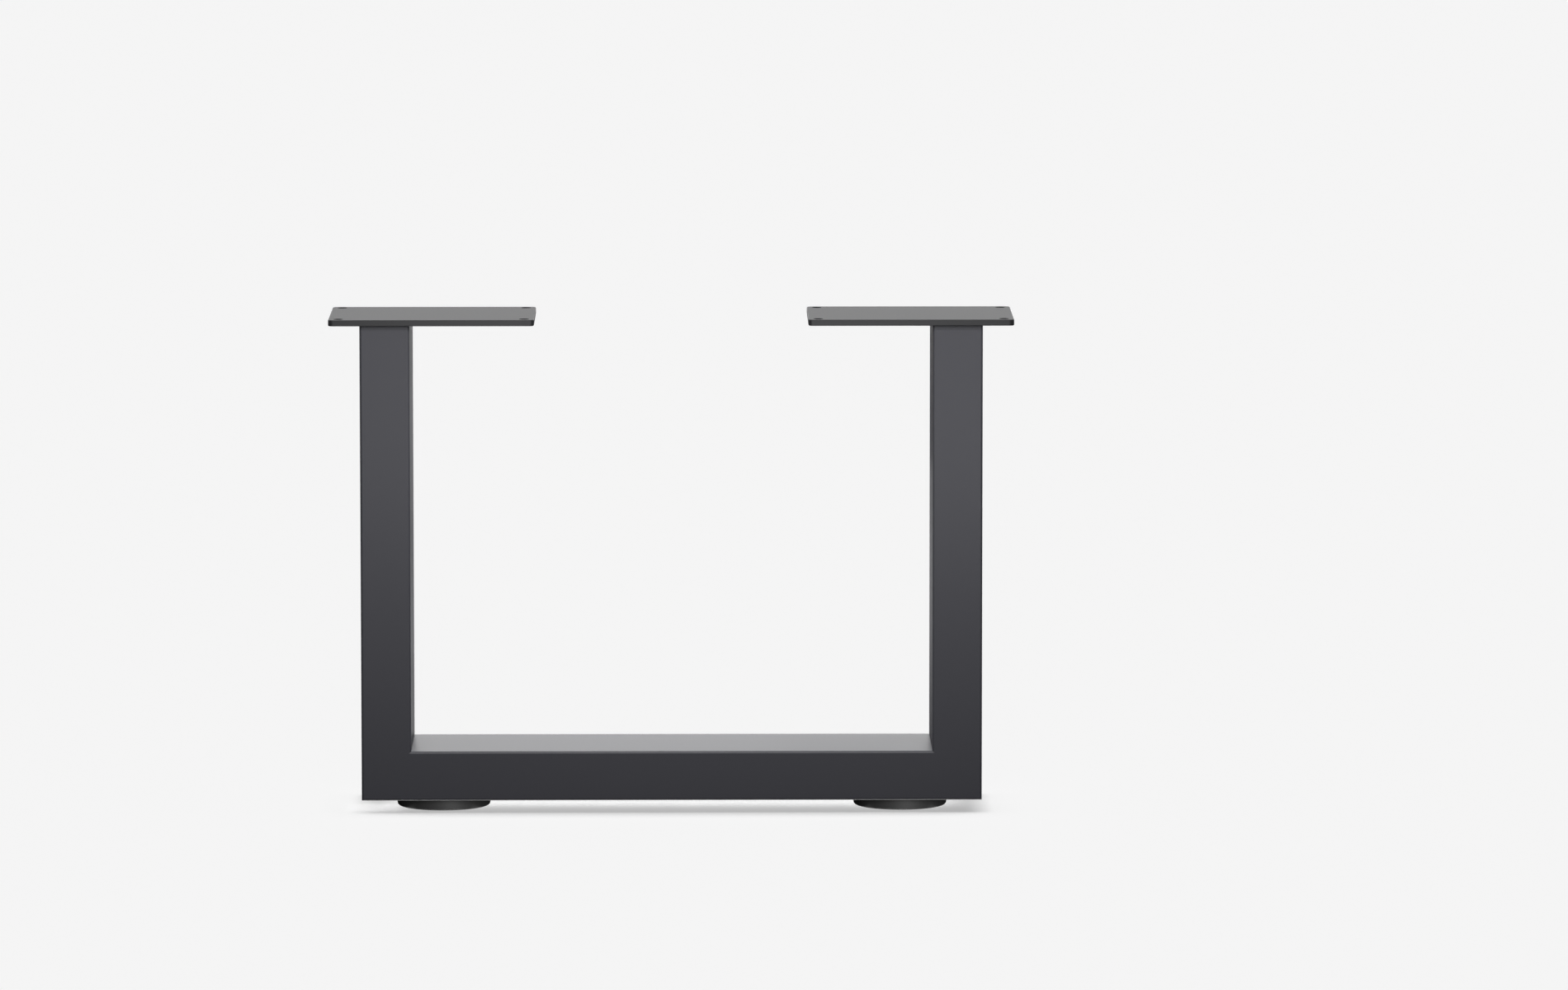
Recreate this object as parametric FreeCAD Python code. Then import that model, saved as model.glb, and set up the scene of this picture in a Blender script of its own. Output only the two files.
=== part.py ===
import FreeCAD, Part
import math
import os

# U shaped table leg: two posts and a beam of rectangular steel tube, mitred and welded at the lower
# corners, a flat plate across the top of each post with holes for the screws into the table top,
# and two round rubber pads screwed to the underside of the beam.
# Millimetres. The origin is on the floor, under the middle of the beam. +X runs along the beam,
# +Y through the depth of the leg and +Z up.

Vector = FreeCAD.Vector
up = Vector(0, 0, 1)

# Tube of the U
leg_width = 500.0               # over the outer faces of the two posts
tube_frame_height = 385.0       # from the underside of the beam to the underside of the plates
tube_depth = 100.0
tube_face = 40.0
tube_wall = 1.5
tube_corner_radius = 2.0

# Plates that carry the table top
plate_thickness = 5.0
plate_reach_outward = 25.0      # past the outer face of the post
plate_reach_inward = 100.0      # past the inner face of the post
plate_side_margin = 5.0         # past the front and the back of the post
plate_corner_radius = 4.0
plate_edge_chamfer = 0.5
plate_hole_diameter = 8.0
plate_hole_edge_distance = 8.0  # from a hole's centre to both nearest edges

# Rubber pads under the beam
pad_top_diameter = 78.0
pad_base_diameter = 75.0
pad_height = 10.0
pad_top_chamfer = 0.4
pad_base_chamfer = 1.0
pad_inset = 65.0                # from the outer face of the post to the pad's axis
pad_web_thickness = 2.8         # rubber left between the washer and the beam

# Screw, washer and rivet nut that hold each pad
screw_diameter = 6.0
screw_length = 16.0
screw_tip_chamfer = 0.8
screw_head_diameter = 10.5
screw_head_height = 3.3
screw_head_rim_height = 1.0
screw_head_flat_diameter = 6.4
screw_socket_width = 4.0        # across the flats
screw_socket_depth = 2.0
washer_diameter = 18.0
washer_thickness = 1.2
rivet_nut_flange_diameter = 11.0
rivet_nut_flange_thickness = 0.8
rivet_nut_body_diameter = 9.0
rivet_nut_body_length = 14.0    # above the underside of the beam
rivet_nut_collar_diameter = 12.0
rivet_nut_collar_height = 4.5   # the flare that grips the inside of the tube's wall

# Radial clearances
thread_clearance = 0.05
rivet_nut_hole_clearance = 0.05
screw_hole_clearance = 0.25
flange_recess_clearance = 0.3
washer_recess_clearance = 0.3
flange_recess_spare_depth = 0.2

# Places that follow from the sizes above
half_width = leg_width / 2
beam_bottom_z = pad_height
beam_top_z = beam_bottom_z + tube_face
plate_bottom_z = beam_bottom_z + tube_frame_height
plate_top_z = plate_bottom_z + plate_thickness
post_centre_x = half_width - tube_face / 2
plate_length = plate_reach_outward + tube_face + plate_reach_inward
plate_width = tube_depth + 2 * plate_side_margin
plate_centre_x = half_width + plate_reach_outward - plate_length / 2
pad_centre_x = half_width - pad_inset
washer_top_z = pad_height - pad_web_thickness
screw_seat_z = washer_top_z - washer_thickness

sides = {"left": -1, "right": 1}


def rounded_rectangle(size_x, size_y, radius):
    """Closed wire around the origin in the XY plane."""
    half_x = size_x / 2
    half_y = size_y / 2
    if radius <= 0:
        corners = [(-half_x, -half_y), (half_x, -half_y), (half_x, half_y), (-half_x, half_y)]
        points = [Vector(x, y, 0) for x, y in corners]
        return Part.makePolygon(points + points[:1])
    arcs = []
    for quarter in range(4):
        start_angle = quarter * 90.0 - 90.0
        sign_x = 1 if quarter in (0, 1) else -1
        sign_y = 1 if quarter in (1, 2) else -1
        centre = Vector(sign_x * (half_x - radius), sign_y * (half_y - radius), 0)
        arcs.append(Part.makeCircle(radius, centre, up, start_angle, start_angle + 90.0))
    edges = []
    for arc, next_arc in zip(arcs, arcs[1:] + arcs[:1]):
        edges.append(arc)
        edges.append(Part.makeLine(arc.Vertexes[1].Point, next_arc.Vertexes[0].Point))
    return Part.Wire(edges)


def tube(length):
    """Rectangular tube along +Z from the XY plane, its narrow face towards -Y."""
    outline = rounded_rectangle(tube_face, tube_depth, tube_corner_radius)
    hollow = rounded_rectangle(tube_face - 2 * tube_wall, tube_depth - 2 * tube_wall,
                               tube_corner_radius - tube_wall)
    outer = Part.Face(outline).extrude(up * length)
    inner = Part.Face(hollow).extrude(up * length)
    return outer.cut(inner)


def mitre_block(outline_xz):
    """Prism through the whole depth of the tube, from its outline seen from the front."""
    depth = 2 * tube_depth
    points = [Vector(x, -depth / 2, z) for x, z in outline_xz]
    return Part.Face(Part.makePolygon(points + points[:1])).extrude(Vector(0, depth, 0))


def post(side):
    """Upright tube. Its foot is cut at 45 degrees, from the outer lower corner up to the beam."""
    upright = tube(tube_frame_height)
    upright.translate(Vector(side * post_centre_x, 0, beam_bottom_z))
    spare = tube_face
    inner_x = half_width - tube_face
    outline = [
        (half_width, beam_bottom_z),
        (inner_x - spare, beam_top_z + spare),
        (inner_x - spare, plate_top_z),
        (half_width + spare, plate_top_z),
        (half_width + spare, beam_bottom_z),
    ]
    return upright.common(mitre_block([(side * x, z) for x, z in outline]))


def beam():
    """Level tube between the two mitres, with a hole in its underside for each rivet nut."""
    level = tube(leg_width)
    level.rotate(Vector(0, 0, 0), Vector(0, 1, 0), 90)
    level.translate(Vector(-half_width, 0, beam_bottom_z + tube_face / 2))
    spare = tube_face
    outline = [
        (-half_width - spare, beam_bottom_z - spare),
        (half_width + spare, beam_bottom_z - spare),
        (half_width - tube_face - spare, beam_top_z + spare),
        (-half_width + tube_face + spare, beam_top_z + spare),
    ]
    level = level.common(mitre_block(outline))
    hole_radius = rivet_nut_body_diameter / 2 + rivet_nut_hole_clearance
    for side in sides.values():
        below = Vector(side * pad_centre_x, 0, beam_bottom_z - tube_wall)
        level = level.cut(Part.makeCylinder(hole_radius, 3 * tube_wall, below))
    return level


def top_plate(side):
    """Flat plate with rounded corners, broken edges and a screw hole near each corner."""
    blank = Part.Face(rounded_rectangle(plate_length, plate_width, plate_corner_radius))
    plate = blank.extrude(up * plate_thickness)
    level_edges = [edge for edge in plate.Edges if edge.BoundBox.ZLength < plate_edge_chamfer]
    plate = plate.makeChamfer(plate_edge_chamfer, level_edges)
    hole_x = plate_length / 2 - plate_hole_edge_distance
    hole_y = plate_width / 2 - plate_hole_edge_distance
    for x in (-hole_x, hole_x):
        for y in (-hole_y, hole_y):
            drill = Part.makeCylinder(plate_hole_diameter / 2, plate_thickness, Vector(x, y, 0))
            plate = plate.cut(drill)
    plate.translate(Vector(side * plate_centre_x, 0, plate_bottom_z))
    return plate


def on_pad_axis(solid, side):
    """Move a solid made around Z to the axis of the pad on that side."""
    solid.translate(Vector(side * pad_centre_x, 0, 0))
    return solid


def turned(outline):
    """Solid of revolution about Z. Each point of its outline is a radius and a height."""
    points = [Vector(radius, 0, z) for radius, z in outline]
    return Part.Face(Part.makePolygon(points + points[:1])).revolve(Vector(0, 0, 0), up, 360)


def foot_pad(side):
    """Tapered rubber disc, recessed below for the washer and screw and above for the rivet nut."""
    screw_hole = screw_diameter / 2 + screw_hole_clearance
    washer_recess = washer_diameter / 2 + washer_recess_clearance
    flange_recess = rivet_nut_flange_diameter / 2 + flange_recess_clearance
    flange_recess_z = pad_height - rivet_nut_flange_thickness - flange_recess_spare_depth
    base = pad_base_diameter / 2
    top = pad_top_diameter / 2
    pad = turned([
        (washer_recess, 0),
        (base - pad_base_chamfer, 0),
        (base, pad_base_chamfer),
        (top, pad_height - pad_top_chamfer),
        (top - pad_top_chamfer, pad_height),
        (flange_recess, pad_height),
        (flange_recess, flange_recess_z),
        (screw_hole, flange_recess_z),
        (screw_hole, washer_top_z),
        (washer_recess, washer_top_z),
    ])
    return on_pad_axis(pad, side)


def foot_washer(side):
    bore = screw_diameter / 2 + screw_hole_clearance
    rim = washer_diameter / 2
    ring = turned([
        (bore, screw_seat_z),
        (rim, screw_seat_z),
        (rim, washer_top_z),
        (bore, washer_top_z),
    ])
    return on_pad_axis(ring, side)


def hexagon(width_across_flats, z):
    """Closed outline of a hexagon around the Z axis."""
    reach = width_across_flats / 2 / math.cos(math.pi / 6)
    angles = [math.pi / 3 * corner for corner in range(6)]
    points = [Vector(reach * math.cos(angle), reach * math.sin(angle), z) for angle in angles]
    return Part.makePolygon(points + points[:1])


def foot_screw(side):
    """Low head screw with a hexagon socket, driven upwards from under the pad."""
    shank = screw_diameter / 2
    rim = screw_head_diameter / 2
    head_bottom_z = screw_seat_z - screw_head_height
    tip_z = screw_seat_z + screw_length
    screw = turned([
        (0, head_bottom_z),
        (screw_head_flat_diameter / 2, head_bottom_z),
        (rim, screw_seat_z - screw_head_rim_height),
        (rim, screw_seat_z),
        (shank, screw_seat_z),
        (shank, tip_z - screw_tip_chamfer),
        (shank - screw_tip_chamfer, tip_z),
        (0, tip_z),
    ])
    socket = Part.Face(hexagon(screw_socket_width, head_bottom_z)).extrude(up * screw_socket_depth)
    return on_pad_axis(screw.cut(socket), side)


def rivet_nut(side):
    """Rivet nut set from below: flange under the beam, flared collar above its lower wall."""
    bore = screw_diameter / 2 + thread_clearance
    flange = rivet_nut_flange_diameter / 2
    body = rivet_nut_body_diameter / 2
    collar = rivet_nut_collar_diameter / 2
    flange_bottom_z = beam_bottom_z - rivet_nut_flange_thickness
    wall_top_z = beam_bottom_z + tube_wall
    nut = turned([
        (bore, flange_bottom_z),
        (flange, flange_bottom_z),
        (flange, beam_bottom_z),
        (body, beam_bottom_z),
        (body, wall_top_z),
        (collar, wall_top_z),
        (body, wall_top_z + rivet_nut_collar_height),
        (body, beam_bottom_z + rivet_nut_body_length),
        (bore, beam_bottom_z + rivet_nut_body_length),
    ])
    return on_pad_axis(nut, side)


def write(node, solid):
    solid.exportStep(os.path.join("parts", node + ".step"))


os.makedirs("parts", exist_ok=True)
write("bottom_beam", beam())
for side_name, side_sign in sides.items():
    write(side_name + "_post", post(side_sign))
    write(side_name + "_top_plate", top_plate(side_sign))
    write(side_name + "_foot_pad", foot_pad(side_sign))
    write(side_name + "_foot_washer", foot_washer(side_sign))
    write(side_name + "_foot_screw", foot_screw(side_sign))
    write(side_name + "_rivet_nut", rivet_nut(side_sign))
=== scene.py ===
import math
import bpy
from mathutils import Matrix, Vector


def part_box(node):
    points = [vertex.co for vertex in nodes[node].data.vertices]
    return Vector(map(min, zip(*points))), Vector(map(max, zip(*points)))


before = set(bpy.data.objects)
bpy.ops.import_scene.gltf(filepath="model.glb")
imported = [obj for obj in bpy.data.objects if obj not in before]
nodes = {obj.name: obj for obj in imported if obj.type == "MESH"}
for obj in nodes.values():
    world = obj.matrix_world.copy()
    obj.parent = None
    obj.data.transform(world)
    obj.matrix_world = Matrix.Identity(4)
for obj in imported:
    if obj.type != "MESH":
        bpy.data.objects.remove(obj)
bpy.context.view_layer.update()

# U shaped table leg in dark grey powder coated steel, standing on a pale studio floor.
# Metres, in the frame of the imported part: the floor is z = 0 and the camera looks along +Y.

sides = ("left", "right")
plates = [nodes[side + "_top_plate"] for side in sides]
pads = [nodes[side + "_foot_pad"] for side in sides]
beam_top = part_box("bottom_beam")[1][2]
millimetre = 0.001

# Camera, fitted to the photograph
photo_width_px = 1900
camera_focal_px = 11238
camera_sensor_width_mm = 36.0
camera_place = (0.0119, -7.449, 1.135)
camera_degrees_down = 6.759
camera_degrees_right = 0.608
camera_reach = 200

# Paper floor and the room round it
floor_half_size = 60.0
paper_white = "#f5f5f5"
paper_lit_colour = "#dadada"
paper_bounce_colour = "#5a5a5a"
paper_own_light = 0.446
room_light = 0.08

# Aims and places that several lamps share
foot_of_leg = (0, 0, 0)
upper_fronts = (0, -0.05, 0.36)
below_in_front = (0.8, -1.2, -3)
gap_lamp_height = 0.0203

# Boards and cloths seen only in gloss, and black sheets of painted shade
cloth_and_painted_shade_black = "#080808"
flag_top = 0.385
cloth_and_shade_card_lift = 0.3 * millimetre
painted_shade_mat_height = 0.6 * millimetre

# Sockets of a colour mix, which has several with the same name
mix_factor = 0
mix_first_colour = 6
mix_second_colour = 7
mix_result_colour = 2


def linear(hex_colour):
    """Linear RGBA from an sRGB hex value."""
    channels = [int(hex_colour[i:i + 2], 16) / 255 for i in (1, 3, 5)]
    return [c / 12.92 if c <= 0.04045 else ((c + 0.055) / 1.055) ** 2.4 for c in channels] + [1.0]


def add_node(tree, kind, settings=None, inputs=None):
    """Add a node, set its properties, and set or link its inputs."""
    node = tree.nodes.new(kind)
    for name, value in (settings or {}).items():
        setattr(node, name, value)
    for name, value in (inputs or {}).items():
        if isinstance(value, bpy.types.NodeSocket):
            tree.links.new(value, node.inputs[name])
        else:
            node.inputs[name].default_value = value
    return node


def new_material(name):
    """An empty material and its node tree."""
    material = bpy.data.materials.new(name)
    material.use_nodes = True
    material.node_tree.nodes.clear()
    return material, material.node_tree


def powder_coated_steel(name, colour, shade):
    """Steel tube or plate, sprayed with polyester powder and baked.

    The eye sees an even satin film with a broad soft gleam, a faint orange peel where light
    grazes it, and no trace of the metal.
    """
    peel_width = 3.0 * millimetre
    peel_depth = 0.006 * millimetre
    tone_width = 120 * millimetre
    satin_roughness = 0.40
    # Baked polyester is nearer 1.5, which gleams more than this leg does.
    film_ior = 1.38
    material, tree = new_material(name)
    place = add_node(tree, "ShaderNodeTexCoord").outputs["Object"]
    peel = add_node(tree, "ShaderNodeTexNoise", inputs={
        "Vector": place, "Scale": 1 / peel_width, "Detail": 2.0, "Roughness": 0.5})
    cloud = add_node(tree, "ShaderNodeTexNoise", inputs={
        "Vector": place, "Scale": 1 / tone_width, "Detail": 3.0, "Roughness": 0.5})
    tone = add_node(tree, "ShaderNodeMix", {"data_type": "RGBA"}, {
        mix_factor: cloud.outputs["Fac"],
        mix_first_colour: linear(colour),
        mix_second_colour: linear(shade)})
    bump = add_node(tree, "ShaderNodeBump", inputs={
        "Height": peel.outputs["Fac"], "Distance": peel_depth, "Strength": 1.0})
    surface = add_node(tree, "ShaderNodeBsdfPrincipled", inputs={
        "Base Color": tone.outputs[mix_result_colour],
        "Roughness": satin_roughness,
        "IOR": film_ior,
        "Normal": bump.outputs["Normal"]})
    add_node(tree, "ShaderNodeOutputMaterial", inputs={"Surface": surface.outputs["BSDF"]})
    return material


def moulded_rubber(name):
    """Black rubber from a mould.

    The eye sees a nearly matt black with a dull sheen and an even grain. The mould's own grain is
    finer than one pixel of the photograph, so it is drawn as coarse as it needs to show.
    """
    grain_width = 0.8 * millimetre
    grain_depth = 0.03 * millimetre
    material, tree = new_material(name)
    place = add_node(tree, "ShaderNodeTexCoord").outputs["Object"]
    grain = add_node(tree, "ShaderNodeTexNoise", inputs={
        "Vector": place, "Scale": 1 / grain_width, "Detail": 3.0, "Roughness": 0.6})
    tone = add_node(tree, "ShaderNodeMix", {"data_type": "RGBA"}, {
        mix_factor: grain.outputs["Fac"],
        mix_first_colour: linear("#181818"),
        mix_second_colour: linear("#1d1d1d")})
    bump = add_node(tree, "ShaderNodeBump", inputs={
        "Height": grain.outputs["Fac"], "Distance": grain_depth, "Strength": 1.0})
    surface = add_node(tree, "ShaderNodeBsdfPrincipled", inputs={
        "Base Color": tone.outputs[mix_result_colour],
        "Roughness": 0.44,
        "IOR": 1.5,
        "Specular IOR Level": 0.3,
        "Normal": bump.outputs["Normal"]})
    add_node(tree, "ShaderNodeOutputMaterial", inputs={"Surface": surface.outputs["BSDF"]})
    return material


def zinc_plated_steel(name):
    """Small steel hardware, zinc plated and passivated.

    The eye sees a cool grey metal with a soft shine and faint clouds from the passivation bath.
    """
    cloud_width = 2.5 * millimetre
    material, tree = new_material(name)
    place = add_node(tree, "ShaderNodeTexCoord").outputs["Object"]
    cloud = add_node(tree, "ShaderNodeTexNoise", inputs={
        "Vector": place, "Scale": 1 / cloud_width, "Detail": 4.0, "Roughness": 0.6})
    tone = add_node(tree, "ShaderNodeMix", {"data_type": "RGBA"}, {
        mix_factor: cloud.outputs["Fac"],
        mix_first_colour: linear("#b4b8bb"),
        mix_second_colour: linear("#cfd1cf")})
    surface = add_node(tree, "ShaderNodeBsdfPrincipled", inputs={
        "Base Color": tone.outputs[mix_result_colour],
        "Metallic": 1.0,
        "Roughness": 0.32})
    add_node(tree, "ShaderNodeOutputMaterial", inputs={"Surface": surface.outputs["BSDF"]})
    return material


def paint(node, material):
    """Give one piece of the leg its finish."""
    mesh = nodes[node].data
    mesh.materials.clear()
    mesh.materials.append(material)


def dress_the_leg():
    """Coat the tubes and plates, and give the pads and their hardware their own finish."""
    tube_coat = powder_coated_steel("powder_coated_steel_tube", "#39393e", "#3b3b40")
    plate_coat = powder_coated_steel("powder_coated_steel_plate", "#212123", "#242426")
    rubber = moulded_rubber("moulded_black_rubber")
    zinc = zinc_plated_steel("zinc_plated_steel")
    for tube in ("left_post", "right_post", "bottom_beam"):
        paint(tube, tube_coat)
    for side in sides:
        paint(side + "_top_plate", plate_coat)
        paint(side + "_foot_pad", rubber)
        for small_part in ("_foot_screw", "_foot_washer", "_rivet_nut"):
            paint(side + small_part, zinc)


def pale_for_the_eye(tree, pale, dim):
    """Background colour seen directly, in gloss and through glass; a dimmer one lights the leg."""
    path = add_node(tree, "ShaderNodeLightPath").outputs
    seen = add_node(tree, "ShaderNodeMath", {"operation": "MAXIMUM"}, {
        0: path["Is Camera Ray"], 1: path["Is Glossy Ray"]})
    seen = add_node(tree, "ShaderNodeMath", {"operation": "MAXIMUM"}, {
        0: seen.outputs[0], 1: path["Is Transmission Ray"]})
    return add_node(tree, "ShaderNodeMixShader", inputs={0: seen.outputs[0], 1: dim, 2: pale})


def clear_from_behind(tree, surface):
    """A sheet that shows its front and lets everything through from its back."""
    behind = add_node(tree, "ShaderNodeNewGeometry").outputs["Backfacing"]
    clear = add_node(tree, "ShaderNodeBsdfTransparent")
    return add_node(tree, "ShaderNodeMixShader", inputs={0: behind, 1: surface, 2: clear.outputs[0]})


def studio_floor():
    """Matt white paper, clear from below so that the leg's underside can be seen.

    Half of its brightness is its own, so the leg's shadow stays light.
    """
    half = floor_half_size
    mesh = bpy.data.meshes.new("studio_floor")
    corners = [(-half, -half, 0), (half, -half, 0), (half, half, 0), (-half, half, 0)]
    mesh.from_pydata(corners, [], [(0, 1, 2, 3)])
    floor = bpy.data.objects.new("studio_floor", mesh)
    bpy.context.scene.collection.objects.link(floor)
    material, tree = new_material("studio_paper")
    own = add_node(tree, "ShaderNodeEmission", inputs={
        "Color": linear(paper_white), "Strength": paper_own_light})
    lit = add_node(tree, "ShaderNodeBsdfDiffuse", inputs={"Color": linear(paper_lit_colour)})
    both = add_node(tree, "ShaderNodeAddShader", inputs={0: own.outputs[0], 1: lit.outputs[0]})
    dim = add_node(tree, "ShaderNodeBsdfDiffuse", inputs={"Color": linear(paper_bounce_colour)})
    mixed = pale_for_the_eye(tree, both.outputs[0], dim.outputs[0])
    paper = clear_from_behind(tree, mixed.outputs[0])
    add_node(tree, "ShaderNodeOutputMaterial", inputs={"Surface": paper.outputs[0]})
    mesh.materials.append(material)
    return floor


def studio_world():
    """A pale room that lights the leg only faintly."""
    world = bpy.data.worlds.new("studio_world")
    world.use_nodes = True
    tree = world.node_tree
    tree.nodes.clear()
    pale = add_node(tree, "ShaderNodeBackground", inputs={
        "Color": linear(paper_white), "Strength": 1.0})
    dim = add_node(tree, "ShaderNodeBackground", inputs={
        "Color": linear(paper_white), "Strength": room_light})
    mixed = pale_for_the_eye(tree, pale.outputs[0], dim.outputs[0])
    add_node(tree, "ShaderNodeOutputWorld", inputs={"Surface": mixed.outputs[0]})
    bpy.context.scene.world = world


def hang(light, place, target):
    """Put a lamp in the scene with its beam on a target."""
    lamp = bpy.data.objects.new(light.name, light)
    bpy.context.scene.collection.objects.link(lamp)
    lamp.location = place
    direction = Vector(target) - Vector(place)
    lamp.rotation_euler = direction.to_track_quat("-Z", "Y").to_euler()
    lamp.visible_camera = False
    return lamp


def skylight(name, place, degrees_wide, strength):
    """A soft sun that fills a round patch, as seen from the leg."""
    light = bpy.data.lights.new(name, "SUN")
    light.angle = math.radians(degrees_wide)
    light.energy = strength
    return hang(light, place, foot_of_leg)


def softbox(name, place, target, size, watts):
    """A flat rectangular lamp."""
    light = bpy.data.lights.new(name, "AREA")
    light.shape = "RECTANGLE"
    light.size, light.size_y = size
    light.energy = watts
    return hang(light, place, target)


def group(name, pieces):
    """A named set of pieces, for the lamps that light only them or that only they shade."""
    collection = bpy.data.collections.new(name)
    for piece in pieces:
        collection.objects.link(piece)
    return collection


def light_only(lit_pieces, lamps):
    """Let lamps light one group of pieces and nothing else."""
    for lamp in lamps:
        lamp.light_linking.receiver_collection = lit_pieces


def shade_only_by(shading_pieces, lamps):
    """Let one group of pieces and nothing else stand in the light of lamps."""
    for lamp in lamps:
        lamp.light_linking.blocker_collection = shading_pieces


def lamps_on_the_leg():
    """Soft light from above, behind and below, and a strip far behind for the pale top faces."""
    overhead = skylight("overhead_softlight", place=(0, 0, 3), degrees_wide=48, strength=1.0)
    back_fills = [skylight("back_fill", place=(x, 2.1, 0.65), degrees_wide=50, strength=3.0)
                  for x in (-2.3, 2.3)]
    for fill in back_fills:
        fill.visible_glossy = False
    below_fill = skylight("below_fill", place=below_in_front, degrees_wide=50, strength=0.5)
    underside_fill = skylight("underside_fill", place=(0, 1.7, -3), degrees_wide=20, strength=1.2)
    screw_fill = skylight("screw_fill", place=below_in_front, degrees_wide=50, strength=3.0)
    back_strip = softbox("back_strip", place=(0, 2.2, 0.35), target=(0, 0, 0.05),
                         size=(1.8, 0.35), watts=5.4)
    leg = group("leg", nodes.values())
    hardware = [nodes[side + part] for side in sides for part in ("_foot_screw", "_foot_washer")]
    light_only(leg, [overhead, below_fill, underside_fill, back_strip] + back_fills)
    light_only(group("hardware", hardware), [screw_fill])
    shade_only_by(leg, [below_fill, underside_fill, screw_fill])


def strips_on_the_fronts():
    """Long strips in front of the posts, whose gleam fades downwards, and one for the plates."""
    strip_size = (0.9, 0.05)
    strips = []
    for name, place, watts in (
            ("high_front_strip", (0.05, -0.60, 0.85), 4.2),
            ("middle_front_strip", (0.05, -0.60, 0.60), 2.6),
            ("level_front_strip", (0.05, -0.50, 0.24), 0.6)):
        strips.append(softbox(name, place, upper_fronts, strip_size, watts))
    plate_strip = softbox("plate_front_strip", place=(0.01, -0.50, 0.24), target=upper_fronts,
                          size=(0.60, 0.05), watts=1.9)
    below_plates = [piece for piece in nodes.values() if piece not in plates]
    light_only(group("pieces_below_plates", below_plates), strips)
    light_only(group("plate_pieces", plates), [plate_strip])


def lamp_on_the_pads():
    """A lamp low in front, for the dull sheen of the pads."""
    pad_lamp = softbox("pad_lamp", place=(1.1, -3.4, 0.7), target=foot_of_leg,
                       size=(0.5, 1.4), watts=345)
    light_only(group("pad_pieces", pads), [pad_lamp])


def lamps_on_the_paper(floor):
    """Three soft suns for the leg's shadow, and two small lamps for the gap under the beam.

    The small lamps hang inside the beam, which is set not to shade them. They make the bright
    line along the gap and the soft left end of the shadow.
    """
    suns = []
    for x, degrees_wide, strength in ((-2.4, 40, 0.87), (0, 50, 0.68), (2.4, 40, 0.87)):
        suns.append(skylight("paper_softlight", (x, 0.38, 3), degrees_wide, strength))
    strip_y = 0.0124
    gap_strip = softbox("gap_strip", place=(0, strip_y, gap_lamp_height), target=(0, strip_y, 0),
                        size=(0.46, 0.046), watts=0.063)
    end_x = -0.2365
    end_y = -0.021
    gap_end = softbox("gap_end_lamp", place=(end_x, end_y, gap_lamp_height),
                      target=(end_x, end_y, 0), size=(0.030, 0.042), watts=0.0019)
    gap_end.data.spread = math.radians(100)
    light_only(group("paper", [floor]), suns + [gap_strip, gap_end])
    shade_only_by(group("low_pieces", [nodes["bottom_beam"]] + pads), suns)
    shade_only_by(group("far_pieces", plates), [gap_strip, gap_end])


def gloss_board(name, colour, corners, one_sided=False):
    """A flat board that only gloss shows: the camera, the soft light and the shadows pass it by."""
    mesh = bpy.data.meshes.new(name)
    mesh.from_pydata(corners, [], [(0, 1, 2, 3)])
    material, tree = new_material(name)
    face = add_node(tree, "ShaderNodeEmission", inputs={"Color": linear(colour), "Strength": 1.0})
    if one_sided:
        face = clear_from_behind(tree, face.outputs[0])
    add_node(tree, "ShaderNodeOutputMaterial", inputs={"Surface": face.outputs[0]})
    mesh.materials.append(material)
    board = bpy.data.objects.new(name, mesh)
    bpy.context.scene.collection.objects.link(board)
    board.visible_camera = False
    board.visible_diffuse = False
    board.visible_shadow = False


def standing_board(name, colour, x_range, y_range, z_range):
    """An upright board over the line from the first x and y to the last."""
    (x0, x1), (y0, y1), (z0, z1) = x_range, y_range, z_range
    gloss_board(name, colour, [(x0, y0, z0), (x1, y1, z0), (x1, y1, z1), (x0, y0, z1)])


def lying_board(name, colour, x_range, y_range, z, one_sided=False):
    """A level board, with its front upwards."""
    (x0, x1), (y0, y1) = x_range, y_range
    corners = [(x0, y0, z), (x1, y0, z), (x1, y1, z), (x0, y1, z)]
    gloss_board(name, colour, corners, one_sided)


def boards_round_the_leg():
    """Dark flags beside and behind the leg, and boards that show in the posts' inner sides."""
    side_flag_x = 1.0
    side_flag_half_width = 1.5
    back_flag_y = 0.25
    back_flag_inner_x = 0.27
    back_flag_outer_x = 1.2
    for side in (-1, 1):
        x = side * side_flag_x
        standing_board("side_flag", "#141414", (x, x), (-side_flag_half_width, side_flag_half_width),
                       (0, flag_top))
        standing_board("back_flag", cloth_and_painted_shade_black, (side * back_flag_inner_x, side * back_flag_outer_x),
                       (back_flag_y, back_flag_y), (0, flag_top))
    for name, colour, x_range, y, z_range in (
            ("left_high_board", "#c8c8c8", (-0.21, -0.1), 0.5, (0.29, 0.4)),
            ("left_low_board", "#e2e2e2", (-0.21, -0.1), 0.5, (0.17, 0.29)),
            ("right_board", "#101010", (0.1, 0.21), 0.5, (0.22, 0.4)),
            ("middle_board", cloth_and_painted_shade_black, (-0.1, 0.1), 0.35, (0.22, 0.4))):
        standing_board(name, colour, x_range, (y, y), z_range)


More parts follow.
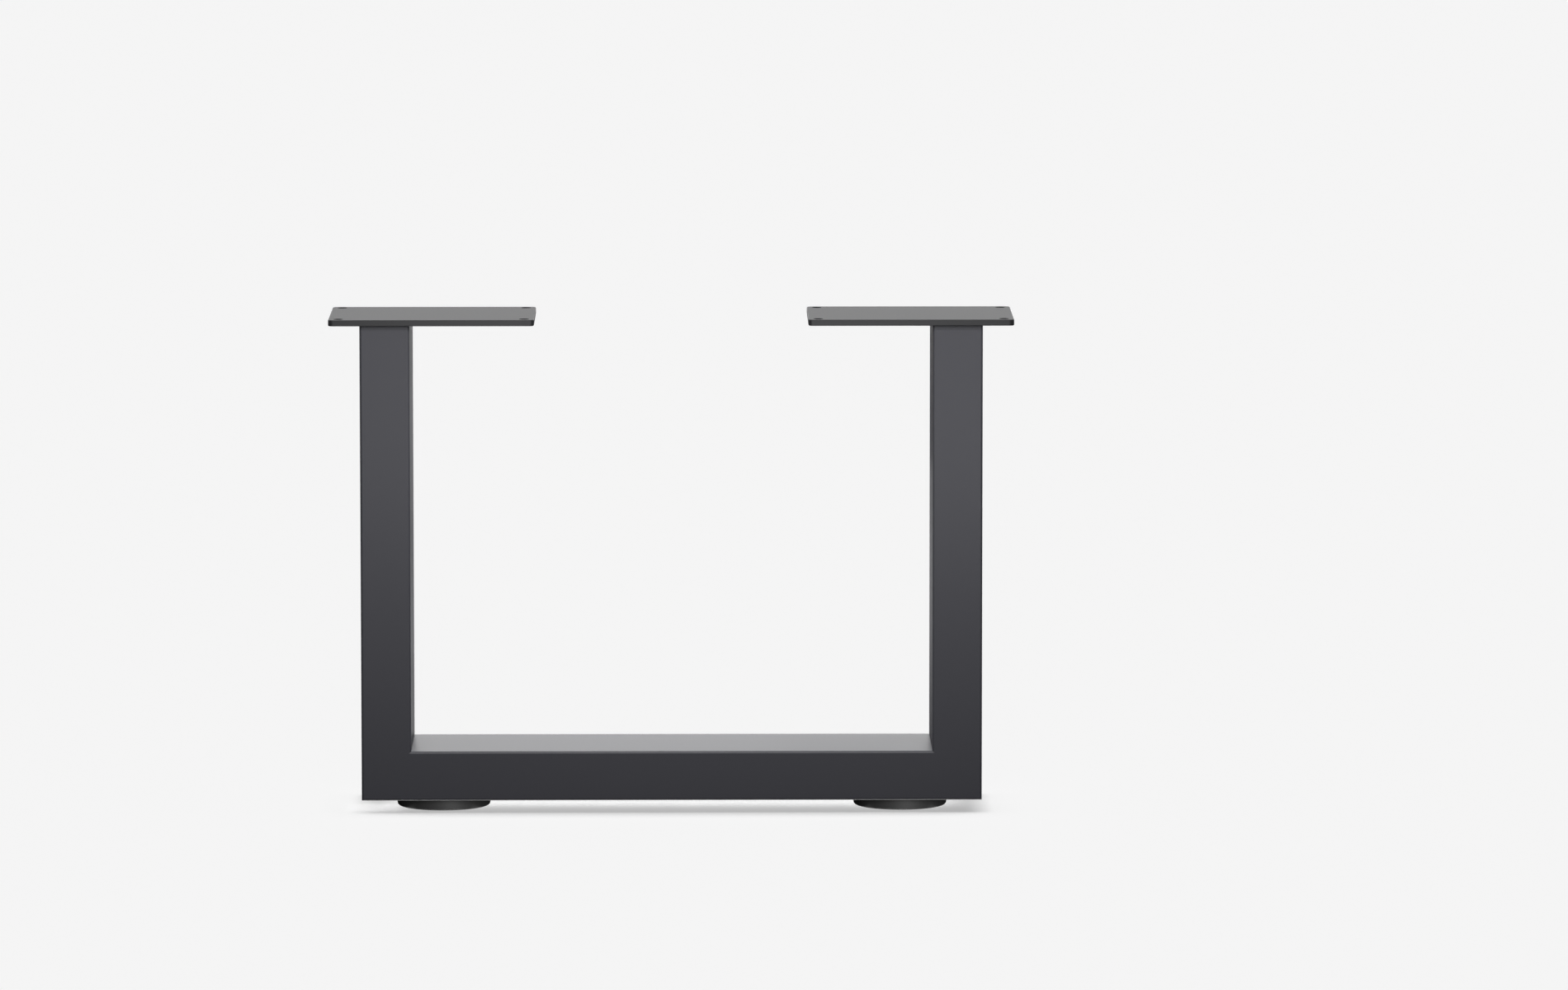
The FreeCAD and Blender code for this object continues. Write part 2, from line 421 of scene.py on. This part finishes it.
def cloths_on_the_floor():
    """Cloths from light to black that the satin coat mirrors in place of the white paper."""
    outer = 1.5
    left_edge = -0.25
    right_edge = 0.45
    near = 0.3
    middle = 0.9
    far = 2.3
    farther = 3.6
    farthest = 12
    for name, colour, x_range, y_range in (
            ("left_near_cloth", "#c4c4c4", (left_edge, 0), (near, middle)),
            ("left_middle_cloth", "#ffffff", (left_edge, 0), (middle, far)),
            ("front_cloth", "#a0a0a0", (-outer, outer), (-1.2, -0.4)),
            ("left_far_cloth", "#ffffff", (left_edge, 0), (far, farther)),
            ("right_near_cloth", "#444444", (0, right_edge), (near, far)),
            ("left_outer_cloth", cloth_and_painted_shade_black, (-outer, left_edge), (near, farther)),
            ("right_outer_cloth", cloth_and_painted_shade_black, (right_edge, outer), (near, far)),
            ("right_far_cloth", "#606060", (0, outer), (far, farther)),
            ("far_cloth", cloth_and_painted_shade_black, (-outer, outer), (farther, farthest))):
        lying_board(name, colour, x_range, y_range, cloth_and_shade_card_lift)


def painted_shade_in_the_corners():
    """Black cards on the beam, clear from below and seen only in gloss: painted shade in the inner
    corners.
    """
    shade_card_ends = (0.15, 0.2095)
    shade_card_half_depth = 0.048
    for side in (-1, 1):
        x_range = sorted(side * x for x in shade_card_ends)
        # Each card is painted shade: black that the posts' inner sides mirror where they meet the
        # beam.
        lying_board("painted_shade_corner_card", cloth_and_painted_shade_black, x_range, (-shade_card_half_depth, shade_card_half_depth),
                    beam_top + cloth_and_shade_card_lift, one_sided=True)


def painted_shade_round_the_pads():
    """Black sheet on the floor round the leg, seen only in gloss, with an opening under each pad:
    painted shade.
    """
    outer = 0.7
    front = -0.4
    back = 0.3
    opening_half_depth = 0.03
    opening_inner_x = 0.155
    opening_outer_x = 0.215
    row = (-opening_half_depth, opening_half_depth)
    for x_range, y_range in (((-outer, outer), (front, -opening_half_depth)),
                             ((-outer, outer), (opening_half_depth, back)),
                             ((-outer, -opening_outer_x), row),
                             ((-opening_inner_x, opening_inner_x), row),
                             ((opening_outer_x, outer), row)):
        # Painted shade: black that the beam's lower edge, the plates' lower edges and the pads' sides
        # mirror.
        lying_board("painted_shade_mat", cloth_and_painted_shade_black, x_range, y_range, painted_shade_mat_height)


def studio_camera():
    """A long lens in front of the leg, a little above it."""
    data = bpy.data.cameras.new("studio_camera")
    data.sensor_width = camera_sensor_width_mm
    data.lens = camera_focal_px / photo_width_px * camera_sensor_width_mm
    data.clip_end = camera_reach
    camera = bpy.data.objects.new("studio_camera", data)
    bpy.context.scene.collection.objects.link(camera)
    camera.location = camera_place
    pitch = math.radians(90 - camera_degrees_down)
    turn = math.radians(-camera_degrees_right)
    camera.rotation_euler = (pitch, 0, turn)
    bpy.context.scene.camera = camera


dress_the_leg()
floor = studio_floor()
studio_world()
lamps_on_the_leg()
strips_on_the_fronts()
lamp_on_the_pads()
lamps_on_the_paper(floor)
boards_round_the_leg()
cloths_on_the_floor()
painted_shade_in_the_corners()
painted_shade_round_the_pads()
studio_camera()
bpy.context.scene.view_settings.view_transform = "Standard"
